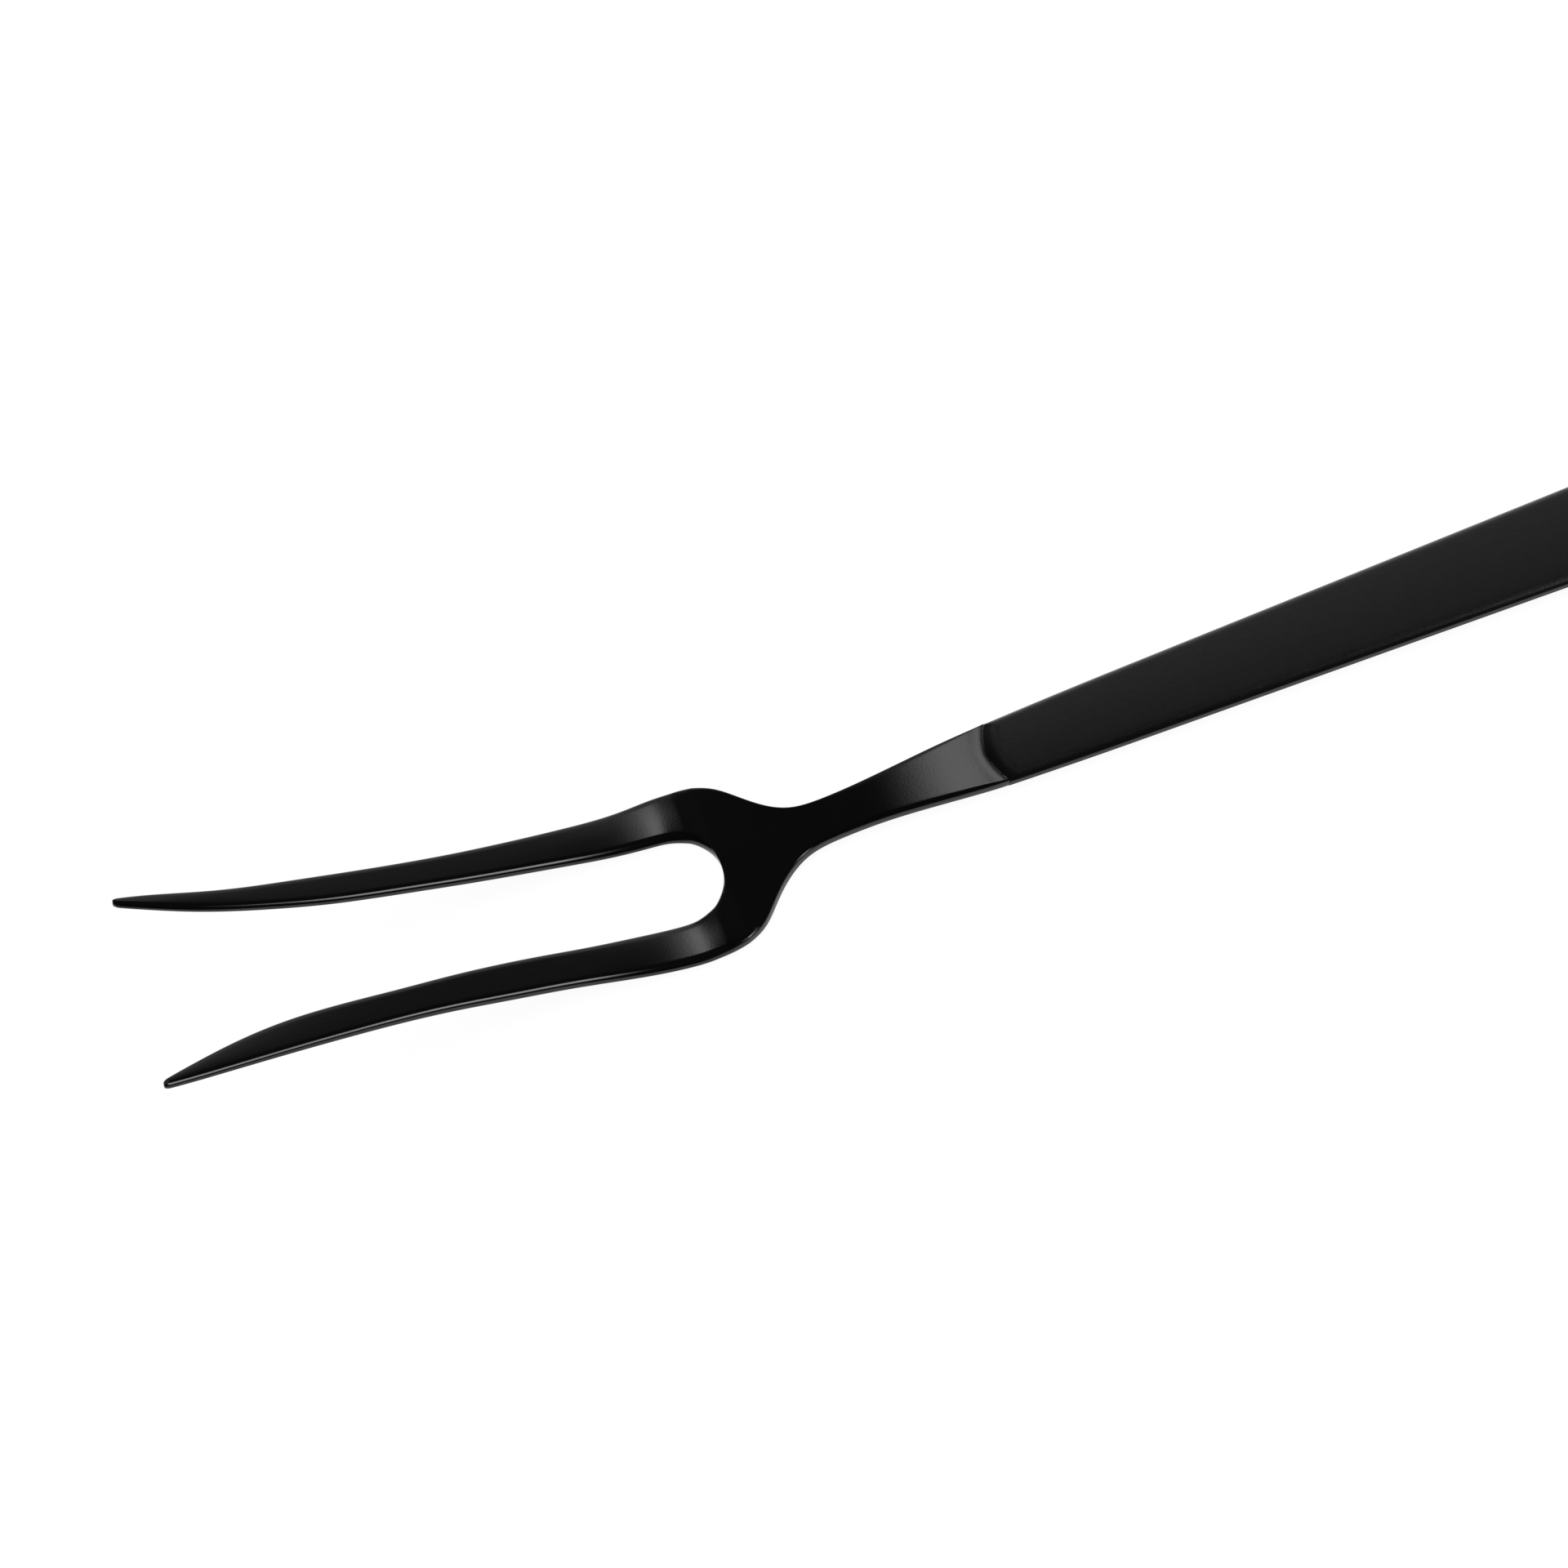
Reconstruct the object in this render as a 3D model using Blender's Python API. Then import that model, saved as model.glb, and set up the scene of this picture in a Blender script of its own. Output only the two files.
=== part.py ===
"""Two-tine carving fork with a hollow metal handle, in metres, +Z up, lying on its back.

The tines point along -X and the butt of the handle along +X. The forged head ends in a tang that two
pressed half shells enclose. Inside the handle, cross pins hold the tang and a cast core backs the shells.
Plan distances are measured from the front of the handle, and heights from the surface it lies on.
"""

import math

import bmesh
import bpy

# Lengths along the fork
HEAD_LENGTH = 0.155
HANDLE_LENGTH = 0.175

# Plan of the head, with distances ahead of the handle
TIP_OFFSET = 0.0199
TIP_WIDTH = 0.0013
TIP_OUTER_SLOPE = 0.16
TIP_INNER_SLOPE = 0.355
WAIST_DISTANCE = 0.094
WAIST_WIDTH = 0.0326
SHOULDER_DISTANCE = 0.0569
SHOULDER_WIDTH = 0.0367
SLOT_END_DISTANCE = 0.0526
SLOT_WIDTH = 0.0184
SLOT_OFFSET = -0.0008
SLOT_OFFSET_FADE = 0.026
NECK_DISTANCE = 0.0335
NECK_WIDTH = 0.00935
NEAR_SWELL_INSIDE = 0.0011
NEAR_SWELL_OUTSIDE = 0.0006
NEAR_SWELL_DISTANCE = 0.136
NEAR_SWELL_REACH = 0.024

# Profile of the head
STOCK_THICKNESS = 0.0017
TIP_THICKNESS = 0.0012
TIP_TAPER_LENGTH = 0.09
TINE_PITCH = math.radians(16.8)
BEND_START = 0.057
BEND_LENGTH = 0.019
CREST_DISTANCE = 0.02
SHOULDER_LIFT = 0.001
CREST_LIFT = 0.0018
FACE_STEP = 0.0008
FACE_ROUND = 0.0012
BACK_ROUND = 0.0005

# Plan of the handle, with distances behind its front
HANDLE_FRONT_WIDTH = 0.0137
HANDLE_BUTT_WIDTH = 0.0229
FRONT_FLARE = 0.0003
FRONT_FLARE_LENGTH = 0.025
FRONT_ARC = 0.0018
FRONT_CORNER = 0.001
BUTT_ROUND = 0.01
BUTT_FLAT_SHARE = 0.3

# Section of the handle
FRONT_SHELL_DEPTH = 0.0021
BACK_SHELL_DEPTH = 0.0021
BACK_SET_IN = 0.0005
CROWN = 0.0005
FRONT_ROLL = 0.0018
BACK_ROLL = 0.0018
MOUTH_ROLL = 0.0012
SHELL_WALL = 0.0006

# Inside the handle
TANG_WIDTH = 0.009
TANG_LENGTH = 0.075
PIN_DIAMETER = 0.003
FRONT_PIN_DISTANCE = 0.02
REAR_PIN_INSET = 0.02
CORE_SOCKET = 0.012

# Clearances
SEAT_GAP = 0.0003
ROLL_LIMIT = 0.9
FACE_ROUND_SHARE = 0.6
BACK_ROUND_SHARE = 0.25
LEAST_ROLL = 0.0001
MERGE_DISTANCE = 0.000001

# Mesh density
TINE_STEPS = 18
SLOT_STEPS = 6
NECK_STEPS = 14
HEAD_COLUMNS = 2
HANDLE_STEPS = 9
BUTT_STEPS = 5
HANDLE_COLUMNS = 6
ROUND_SEGMENTS = 3
ROLL_STEPS = 4
CORNER_STEPS = 3
PIN_SIDES = 20
SMOOTH_ANGLE = math.radians(40)

EDGE_HEIGHT = BACK_SHELL_DEPTH + FRONT_SHELL_DEPTH
HANDLE_FRONT_X = (HEAD_LENGTH - HANDLE_LENGTH) / 2
PIN_DISTANCES = (FRONT_PIN_DISTANCE, TANG_LENGTH - REAR_PIN_INSET)


def clear_scene():
    for item in list(bpy.data.objects):
        bpy.data.objects.remove(item)


def material(name, colour, roughness, metallic):
    made = bpy.data.materials.new(name)
    made.use_nodes = True
    shader = made.node_tree.nodes["Principled BSDF"]
    shader.inputs["Base Color"].default_value = (*colour, 1)
    shader.inputs["Roughness"].default_value = roughness
    shader.inputs["Metallic"].default_value = metallic
    return made


def add_piece(name, mesh, finish, parent):
    """A named piece from a finished bmesh, in the frame of the handle's front."""
    data = bpy.data.meshes.new(name)
    mesh.to_mesh(data)
    mesh.free()
    data.materials.append(finish)
    piece = bpy.data.objects.new(name, data)
    piece.parent = parent
    bpy.context.collection.objects.link(piece)
    return piece


def cut(piece, cutter):
    cutter.hide_render = True
    cutter.display_type = "WIRE"
    boolean = piece.modifiers.new(cutter.name, "BOOLEAN")
    boolean.operation = "DIFFERENCE"
    boolean.solver = "EXACT"
    boolean.object = cutter


def round_edges(piece, width):
    """Round the edges that carry a bevel weight, each by its share of the width."""
    bevel = piece.modifiers.new("rounded_edges", "BEVEL")
    bevel.limit_method = "WEIGHT"
    bevel.width = width
    bevel.segments = ROUND_SEGMENTS
    bevel.use_clamp_overlap = False


def shade_round(piece):
    piece.data.shade_smooth()
    piece.data.set_sharp_from_angle(angle=SMOOTH_ANGLE)


def cubic(share, start, end, start_rise=0.0, end_rise=0.0):
    """A cubic from start to end, whose rises are its end slopes times its span."""
    square = share * share
    cube = square * share
    return (
        start * (2 * cube - 3 * square + 1)
        + end * (3 * square - 2 * cube)
        + start_rise * (cube - 2 * square + share)
        + end_rise * (cube - square)
    )


def handle_half_width(behind):
    """Half the handle's width: a straight taper with a slight extra flare at its front."""
    flared = max(0.0, 1 - behind / FRONT_FLARE_LENGTH)
    taper = (HANDLE_BUTT_WIDTH - HANDLE_FRONT_WIDTH) / 2 - FRONT_FLARE
    return HANDLE_FRONT_WIDTH / 2 + FRONT_FLARE * (1 - flared**2) + taper * behind / HANDLE_LENGTH


def front_arc(y):
    """How far the handle's rounded front bulges towards the tines."""
    return FRONT_ARC * (1 - (2 * y / HANDLE_FRONT_WIDTH) ** 2)


def face_height(share):
    """Height of the handle's face, by the share of the half width from the middle."""
    return EDGE_HEIGHT + CROWN * (1 - share * share)


NECK_END_MIDDLE = face_height(0.0) - FACE_STEP - STOCK_THICKNESS / 2
TANG_BOTTOM = max(NECK_END_MIDDLE - STOCK_THICKNESS / 2, SHELL_WALL + SEAT_GAP)
TANG_TOP = face_height(TANG_WIDTH / HANDLE_FRONT_WIDTH) - SHELL_WALL - SEAT_GAP


def near_swell(ahead):
    """Share of the extra width that the near tine is ground with towards its tip."""
    away = (ahead - NEAR_SWELL_DISTANCE) / NEAR_SWELL_REACH
    return max(0.0, 1 - away * away) ** 2


def outer_edge(ahead, side):
    """Distance from the middle line to the outside of the head, on the far (1) or near (-1) side."""
    waist = WAIST_WIDTH / 2
    shoulder = SHOULDER_WIDTH / 2
    neck = NECK_WIDTH / 2
    if ahead > WAIST_DISTANCE:
        span = HEAD_LENGTH - WAIST_DISTANCE
        tip = TIP_OFFSET + TIP_WIDTH / 2
        edge = cubic((ahead - WAIST_DISTANCE) / span, waist, tip, end_rise=TIP_OUTER_SLOPE * span)
        return edge + (NEAR_SWELL_OUTSIDE * near_swell(ahead) if side < 0 else 0.0)
    if ahead > SHOULDER_DISTANCE:
        return cubic((ahead - SHOULDER_DISTANCE) / (WAIST_DISTANCE - SHOULDER_DISTANCE), shoulder, waist)
    if ahead > NECK_DISTANCE:
        u = (ahead - NECK_DISTANCE) / (SHOULDER_DISTANCE - NECK_DISTANCE)
        return neck + (shoulder - neck) * u**3 * (u * (6 * u - 15) + 10)
    taper = (HANDLE_BUTT_WIDTH - HANDLE_FRONT_WIDTH) / 2 / HANDLE_LENGTH
    slope = 2 * FRONT_FLARE / FRONT_FLARE_LENGTH + taper
    end = HANDLE_FRONT_WIDTH / 2
    return cubic(1 - ahead / NECK_DISTANCE, neck, end, end_rise=slope * NECK_DISTANCE)


def inner_edge(ahead, side):
    """Distance from the middle line to the slot between the tines, from its round end to its flared mouth."""
    if ahead < SLOT_END_DISTANCE:
        return 0.0
    radius = SLOT_WIDTH / 2
    centre = SLOT_END_DISTANCE + radius
    offset = side * SLOT_OFFSET * cubic(min(1.0, max(0.0, ahead - centre) / SLOT_OFFSET_FADE), 1.0, 0.0)
    if ahead < centre:
        return offset + math.sqrt(max(0.0, radius**2 - (centre - ahead) ** 2))
    span = HEAD_LENGTH - centre
    tip = TIP_OFFSET - TIP_WIDTH / 2
    edge = cubic((ahead - centre) / span, radius, tip, end_rise=TIP_INNER_SLOPE * span)
    return edge + offset - (NEAR_SWELL_INSIDE * near_swell(ahead) if side < 0 else 0.0)


def tine_slope(ahead):
    bent = min(max((ahead - BEND_START) / BEND_LENGTH, 0.0), 1.0)
    return bent * math.tan(TINE_PITCH)


def middle_height(ahead):
    """Height of the head's middle plane: neck arched over the table, flat shoulder, raised tines."""
    flat = SHOULDER_LIFT + STOCK_THICKNESS / 2
    crest = flat + CREST_LIFT
    if ahead < CREST_DISTANCE:
        return crest - (crest - NECK_END_MIDDLE) * (1 - ahead / CREST_DISTANCE) ** 2
    if ahead < SLOT_END_DISTANCE:
        return cubic((ahead - CREST_DISTANCE) / (SLOT_END_DISTANCE - CREST_DISTANCE), crest, flat)
    bent = min(max(ahead - BEND_START, 0.0), BEND_LENGTH)
    straight = max(ahead - BEND_START - BEND_LENGTH, 0.0)
    return flat + math.tan(TINE_PITCH) * (bent * bent / (2 * BEND_LENGTH) + straight)


def thickness(ahead):
    left = min(1.0, (HEAD_LENGTH - ahead) / TIP_TAPER_LENGTH)
    return TIP_THICKNESS + (STOCK_THICKNESS - TIP_THICKNESS) * left


def head_stations():
    """Distances of the head's cross-sections from tip to neck, closer together round the slot's end."""
    radius = SLOT_WIDTH / 2
    centre = SLOT_END_DISTANCE + radius
    tines = [HEAD_LENGTH + (centre - HEAD_LENGTH) * i / TINE_STEPS for i in range(TINE_STEPS)]
    slot = [centre - radius * math.sin(math.pi / 2 * i / SLOT_STEPS) for i in range(SLOT_STEPS)]
    neck = [SLOT_END_DISTANCE * (1 - i / NECK_STEPS) for i in range(NECK_STEPS)]
    return tines + slot + neck


def head_section(ahead, side):
    """Top and bottom rows of half a cross-section of the head, from the slot or middle line outwards."""
    inner = inner_edge(ahead, side)
    outer = outer_edge(ahead, side)
    middle = middle_height(ahead)
    half = thickness(ahead) / 2 * math.hypot(1, tine_slope(ahead))
    drawn_in = max(0.0, 1 - ahead / NECK_DISTANCE) ** 2
    rows = ([], [])
    for column in range(HEAD_COLUMNS + 1):
        y = inner + (outer - inner) * column / HEAD_COLUMNS
        x = -ahead - drawn_in * (front_arc(y) + SEAT_GAP)
        rows[0].append((x, side * y, middle + half))
        rows[1].append((x, side * y, middle - half))
    return rows


def tang_section(behind, side):
    """Rows of half the tang, whose front meets the neck along the handle's arc."""
    rows = ([], [])
    for column in range(HEAD_COLUMNS + 1):
        y = TANG_WIDTH / 2 * column / HEAD_COLUMNS
        x = behind if behind else -front_arc(y) - SEAT_GAP
        rows[0].append((x, side * y, TANG_TOP))
        rows[1].append((x, side * y, TANG_BOTTOM))
    return rows


def half_head(mesh, weight, side):
    """Tine, shoulder, neck and tang on one side of the middle line, with the edges to round weighted."""
    stations = head_stations() + [0.0]
    sections = [head_section(ahead, side) for ahead in stations]
    sections += [tang_section(0.0, side), tang_section(TANG_LENGTH, side)]
    slotted = TINE_STEPS + SLOT_STEPS
    top = [[mesh.verts.new(point) for point in rows[0]] for rows in sections]
    bottom = [[mesh.verts.new(point) for point in rows[1]] for rows in sections]
    faces = []
    for i in range(len(sections) - 1):
        for j in range(HEAD_COLUMNS):
            faces.append((top[i][j], top[i + 1][j], top[i + 1][j + 1], top[i][j + 1]))
            faces.append((bottom[i][j], bottom[i][j + 1], bottom[i + 1][j + 1], bottom[i + 1][j]))
        faces.append((top[i][-1], top[i + 1][-1], bottom[i + 1][-1], bottom[i][-1]))
        if i < slotted:
            faces.append((top[i][0], bottom[i][0], bottom[i + 1][0], top[i + 1][0]))
    for j in range(HEAD_COLUMNS):
        faces.append((top[0][j], top[0][j + 1], bottom[0][j + 1], bottom[0][j]))
        faces.append((top[-1][j], bottom[-1][j], bottom[-1][j + 1], top[-1][j + 1]))
    for corners in faces:
        mesh.faces.new(corners if side > 0 else corners[::-1])

    def mark(first, second, ahead, widest, share):
        """Weight an edge by the round that its local width and its share of the thickness leave room for."""
        width = outer_edge(ahead, side) - inner_edge(ahead, side)
        room = min(ROLL_LIMIT / 2 * width, share * thickness(ahead))
        mesh.edges.get((first, second))[weight] = min(widest, room) / FACE_ROUND

    for rows, widest, share in ((top, FACE_ROUND, FACE_ROUND_SHARE), (bottom, BACK_ROUND, BACK_ROUND_SHARE)):
        for i in range(len(stations) - 1):
            mark(rows[i][-1], rows[i + 1][-1], stations[i], widest, share)
            if i < slotted:
                mark(rows[i][0], rows[i + 1][0], stations[i], widest, share)
        for j in range(HEAD_COLUMNS):
            mark(rows[0][j], rows[0][j + 1], HEAD_LENGTH, widest, share)
    for j in (0, -1):
        mark(top[0][j], bottom[0][j], HEAD_LENGTH, BACK_ROUND, FACE_ROUND_SHARE)


def fork_head(finish, parent):
    """Both tines, shoulder, neck and tang in one forging, with holes for the cross pins."""
    mesh = bmesh.new()
    weight = mesh.edges.layers.float.new("bevel_weight_edge")
    for side in (1, -1):
        half_head(mesh, weight, side)
    bmesh.ops.remove_doubles(mesh, verts=mesh.verts, dist=MERGE_DISTANCE)
    piece = add_piece("fork_head", mesh, finish, parent)
    round_edges(piece, FACE_ROUND)
    for distance in PIN_DISTANCES:
        hole = cylinder("pin_hole", PIN_DIAMETER / 2 + SEAT_GAP, distance, 0.0, EDGE_HEIGHT, finish, parent)
        cut(piece, hole)
    shade_round(piece)


def handle_plan(side_in, front_in, first):
    """Rows of plan points across the handle, set in from its outline, starting first behind its front."""
    start = first + front_in
    last = HANDLE_LENGTH - side_in
    taper_end = HANDLE_LENGTH - BUTT_ROUND
    corner = max(FRONT_CORNER - side_in, SEAT_GAP)
    turns = [math.pi / 2 * i / CORNER_STEPS for i in range(CORNER_STEPS)]
    stations = [start + corner * (1 - math.cos(turn)) for turn in turns]
    stations += [start + corner + (taper_end - start - corner) * i / HANDLE_STEPS for i in range(HANDLE_STEPS)]
    turns = [math.pi / 2 * i / BUTT_STEPS for i in range(BUTT_STEPS + 1)]
    stations += [taper_end + (last - taper_end) * math.sin(turn) for turn in turns]
    rows = []
    for behind in stations:
        into_corner = max(0.0, start + corner - behind)
        into_butt = max(0.0, (behind - taper_end) / (last - taper_end))
        half = handle_half_width(behind) - side_in - corner + math.sqrt(max(0.0, corner**2 - into_corner**2))
        half *= math.sqrt(1 - (1 - BUTT_FLAT_SHARE**2) * into_butt**2)
        pulled = max(0.0, 1 - (behind - front_in) / FRONT_FLARE_LENGTH) ** 2
        row = []
        for column in range(HANDLE_COLUMNS + 1):
            share = 2 * column / HANDLE_COLUMNS - 1
            row.append((behind - pulled * front_arc(share * half), share * half, share))
        rows.append(row)
    return rows


def rim_of(grid):
    """The grid's border in order: front row, +Y side, butt row, -Y side."""
    left = [row[-1] for row in grid[1:]]
    right = [row[0] for row in grid[-2:0:-1]]
    return list(grid[0]) + left + list(grid[-1][-2::-1]) + right


def join_rims(mesh, upper, lower):
    for k in range(len(upper)):
        after = (k + 1) % len(upper)
        mesh.faces.new((upper[k], upper[after], lower[after], lower[k]))


def handle_skin(mesh, facing, set_in, seam, first=0.0):
    """One half of the handle's surface, set in from its outside: wall, rolled edge and face.

    The front half faces up and the back half down. Returns the wall's border at the seam.
    """
    if facing > 0:
        depth, roll, outline_in = FRONT_SHELL_DEPTH, FRONT_ROLL, 0.0
    else:
        depth, roll, outline_in = BACK_SHELL_DEPTH, BACK_ROLL, BACK_SET_IN
    roll = max(min(roll, ROLL_LIMIT * depth) - set_in, LEAST_ROLL)
    mouth = min(max(MOUTH_ROLL - set_in, LEAST_ROLL), roll)
    seam_rim = None
    below = None
    faces = []
    for step in range(ROLL_STEPS + 1):
        turn = math.pi / 2 * step / ROLL_STEPS
        side_in = outline_in + set_in + roll * (1 - math.cos(turn))
        from_face = set_in + roll * (1 - math.sin(turn))
        left_of_mouth = max(0.0, mouth - (from_face - set_in))
        front_in = set_in + mouth - math.sqrt(max(0.0, mouth**2 - left_of_mouth**2))
        plan = handle_plan(side_in, front_in, first)
        if step == 0:
            rim = rim_of(plan)
            seam_rim = [mesh.verts.new((x, y, seam)) for x, y, _ in rim]
            below = seam_rim
        if step < ROLL_STEPS:
            level = EDGE_HEIGHT - from_face if facing > 0 else from_face
            rim = [mesh.verts.new((x, y, level)) for x, y, _ in rim_of(plan)]
        else:
            grid = []
            for row in plan:
                levels = [face_height(share) - set_in if facing > 0 else set_in for _, _, share in row]
                grid.append([mesh.verts.new((x, y, z)) for (x, y, _), z in zip(row, levels)])
            for row, after in zip(grid, grid[1:]):
                for j in range(HANDLE_COLUMNS):
                    faces.append(mesh.faces.new((row[j], after[j], after[j + 1], row[j + 1])))
            rim = rim_of(grid)
        for k in range(len(rim)):
            after = (k + 1) % len(rim)
            faces.append(mesh.faces.new((rim[k], rim[after], below[after], below[k])))
        below = rim
    if facing < 0:
        bmesh.ops.reverse_faces(mesh, faces=faces)
    return seam_rim, faces


def shell(name, facing, finish, parent):
    """One pressed half of the handle: an outer skin, an inner skin a wall away, and the edge at the seam."""
    mesh = bmesh.new()
    seam = BACK_SHELL_DEPTH + facing * SEAT_GAP / 2
    outer, _ = handle_skin(mesh, facing, 0.0, seam)
    inner, inside = handle_skin(mesh, facing, SHELL_WALL, seam)
    bmesh.ops.reverse_faces(mesh, faces=inside)
    if facing > 0:
        join_rims(mesh, outer, inner)
    else:
        join_rims(mesh, inner, outer)
    piece = add_piece(name, mesh, finish, parent)
    cut(piece, tang_mouth(name + "_mouth", finish, parent))
    shade_round(piece)


def tang_mouth(name, finish, parent):
    """Opening in the handle's front wall that the tang passes through."""
    reach = FRONT_ARC + FRONT_CORNER + SHELL_WALL
    half = TANG_WIDTH / 2 + SEAT_GAP
    corners = ((-reach, -half, TANG_BOTTOM - SEAT_GAP), (reach, half, TANG_TOP + SEAT_GAP))
    return box(name, corners, finish, parent)


def box(name, corners, finish, parent):
    low, high = corners
    mesh = bmesh.new()
    bmesh.ops.create_cube(mesh, size=1)
    for vert in mesh.verts:
        vert.co = [a + (b - a) * (c + 0.5) for a, b, c in zip(low, high, vert.co)]
    return add_piece(name, mesh, finish, parent)


def cylinder(name, radius, behind, bottom, top, finish, parent):
    mesh = bmesh.new()
    bmesh.ops.create_cone(
        mesh, cap_ends=True, segments=PIN_SIDES, radius1=radius, radius2=radius, depth=top - bottom
    )
    bmesh.ops.translate(mesh, verts=mesh.verts, vec=(behind, 0, (top + bottom) / 2))
    return add_piece(name, mesh, finish, parent)


def tang_pins(finish, parent):
    """Cross pins through the tang, seated between the inner faces of the two shells."""
    top = face_height(0.0) - SHELL_WALL - SEAT_GAP
    for name, distance in zip(("tang_pin_front", "tang_pin_rear"), PIN_DISTANCES):
        pin = cylinder(name, PIN_DIAMETER / 2, distance, SHELL_WALL + SEAT_GAP, top, finish, parent)
        shade_round(pin)


def handle_core(finish, parent):
    """Cast filling behind the tang, with a socket for its tail."""
    set_in = SHELL_WALL + SEAT_GAP
    front = TANG_LENGTH - CORE_SOCKET
    mesh = bmesh.new()
    upper, _ = handle_skin(mesh, 1, set_in, BACK_SHELL_DEPTH, front)
    lower, _ = handle_skin(mesh, -1, set_in, BACK_SHELL_DEPTH, front)
    bmesh.ops.weld_verts(mesh, targetmap=dict(zip(lower, upper)))
    piece = add_piece("handle_core", mesh, finish, parent)
    half = TANG_WIDTH / 2 + SEAT_GAP
    corners = ((front - CORE_SOCKET, -half, 0.0), (TANG_LENGTH + SEAT_GAP, half, EDGE_HEIGHT + CROWN))
    cut(piece, box("core_socket", corners, finish, parent))
    shade_round(piece)


def main():
    clear_scene()
    fork = bpy.data.objects.new("carving_fork", None)
    fork.location.x = HANDLE_FRONT_X
    bpy.context.collection.objects.link(fork)
    gloss = material("gloss_black_steel", (0.012, 0.012, 0.013), 0.12, 0.9)
    satin = material("satin_black_steel", (0.02, 0.02, 0.021), 0.38, 0.9)
    steel = material("pin_steel", (0.55, 0.55, 0.56), 0.3, 1.0)
    resin = material("core_resin", (0.45, 0.42, 0.36), 0.8, 0.0)
    fork_head(gloss, fork)
    shell("handle_front_shell", 1, satin, fork)
    shell("handle_back_shell", -1, satin, fork)
    tang_pins(steel, fork)
    handle_core(resin, fork)


main()
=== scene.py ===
"""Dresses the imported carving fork: a mirror-black forged head and a brushed black hollow handle.

Laid out as an add-on and run as a script. Plan distances along the head run ahead of the handle's front,
towards the tips, and those along the handle run behind it, towards the butt. Heights are above the table.
"""

import math
from bisect import bisect
from contextlib import contextmanager

import bmesh
import bpy
from mathutils import Matrix, Vector


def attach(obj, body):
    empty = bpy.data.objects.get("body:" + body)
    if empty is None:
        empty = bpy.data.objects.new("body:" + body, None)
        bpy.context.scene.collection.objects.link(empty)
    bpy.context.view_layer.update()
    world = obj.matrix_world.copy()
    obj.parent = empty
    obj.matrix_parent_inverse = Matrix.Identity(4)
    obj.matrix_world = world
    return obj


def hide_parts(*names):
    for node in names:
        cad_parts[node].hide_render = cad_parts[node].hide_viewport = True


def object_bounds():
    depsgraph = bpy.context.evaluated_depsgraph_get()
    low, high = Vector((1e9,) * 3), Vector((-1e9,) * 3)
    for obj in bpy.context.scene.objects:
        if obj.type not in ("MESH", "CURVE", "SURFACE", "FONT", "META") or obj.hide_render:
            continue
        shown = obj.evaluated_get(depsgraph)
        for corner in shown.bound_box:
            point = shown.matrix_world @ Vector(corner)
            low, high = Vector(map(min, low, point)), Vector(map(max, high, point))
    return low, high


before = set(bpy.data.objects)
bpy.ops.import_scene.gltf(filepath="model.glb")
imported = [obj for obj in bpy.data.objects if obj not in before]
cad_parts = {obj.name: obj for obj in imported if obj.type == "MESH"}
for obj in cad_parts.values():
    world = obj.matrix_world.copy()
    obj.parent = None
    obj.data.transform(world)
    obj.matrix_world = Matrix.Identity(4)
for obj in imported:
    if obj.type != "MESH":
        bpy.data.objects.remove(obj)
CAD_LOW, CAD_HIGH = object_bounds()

bl_info = {
    "name": "Carving fork",
    "version": (1, 0, 0),
    "blender": (4, 5, 0),
    "location": "View3D > Sidebar > Fork",
    "description": "Builds the visible pieces of a two-tine carving fork round its packed frame",
    "category": "Object",
}

BODY = "root"

# Sides of the head, and the ways that the handle's two shells face
FAR, NEAR = 1, -1
UP, DOWN = 1, -1

# Mesh density
TINE_ROWS = 18
SLOT_ROWS = 6
NECK_ROWS = 14
HEAD_COLUMNS = 4
EDGE_SEGMENTS = 3
HEAD_LEVELS = 2
HANDLE_ROWS = 36
CORNER_ROWS = 4
BUTT_ROWS = 14
HANDLE_COLUMNS = 16
# Extra rows of the head: back from the tips, ahead of the handle and on both sides of the crease of the bend
TIP_ROWS = (0.0, 0.0003, 0.0007, 0.0012)
END_ROWS = (0.0, 0.0004, 0.0008, 0.0012, 0.0018, 0.0026)
CREASE_HALF = 0.00025
CREASE_CLEAR = 0.001

# Section of the handle's upper rim, as (set in from the side, below the face)
UPPER_RIM = (
    (0.0022, 0.0), (0.0017, 0.00006), (0.00125, 0.00017), (0.00085, 0.00032), (0.0005, 0.0005), (0.00026, 0.00068),
    (0.0001, 0.00086), (0.00002, 0.00103), (0.0, 0.0012),
)
# Section of its lower rim at the same steps, as (set in from the side, above the table)
LOWER_RIM = (
    (0.0025, 0.0), (0.0022, 0.00004), (0.00195, 0.00016), (0.0017, 0.0004), (0.00142, 0.00075), (0.00112, 0.00112),
    (0.00084, 0.0015), (0.00055, 0.0019), (0.00038, 0.0022),
)
# Section of the round over its front at the same steps, as shares of that round's reach and of its drop
FRONT_RIM = (
    (1.0, 0.0), (0.74, 0.05), (0.54, 0.13), (0.37, 0.24), (0.23, 0.37), (0.12, 0.53), (0.045, 0.72), (0.01, 0.89),
    (0.0, 1.0),
)
ROLL_STEPS = len(UPPER_RIM) - 1
# How late, from the middle out to a corner, the front's round gives way to the rim's
CORNER_POWER = 8

# Most that an edge of the head is rounded: shares of its side's width and of its stock, above and below
WIDTH_SHARE = 0.3
FACE_SHARE = 0.82
BACK_SHARE = 0.12
# Where the outer columns of the head lie, in rounds of its edge
HOLD_SHARE = 1.25
# Edges of the head are rounded where they turn by more than this, unless they stand upright
SHARP_ANGLE = math.radians(60)
UPRIGHT_SLOPE = 2.0

# Tolerances and clearances
LEAST_CORNER = 0.00012
MERGE_DISTANCE = 0.000001
NEAR_END = 0.0002
SMOOTH_ANGLE = math.radians(35)
FLOOR_DROP = 0.0002

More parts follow.
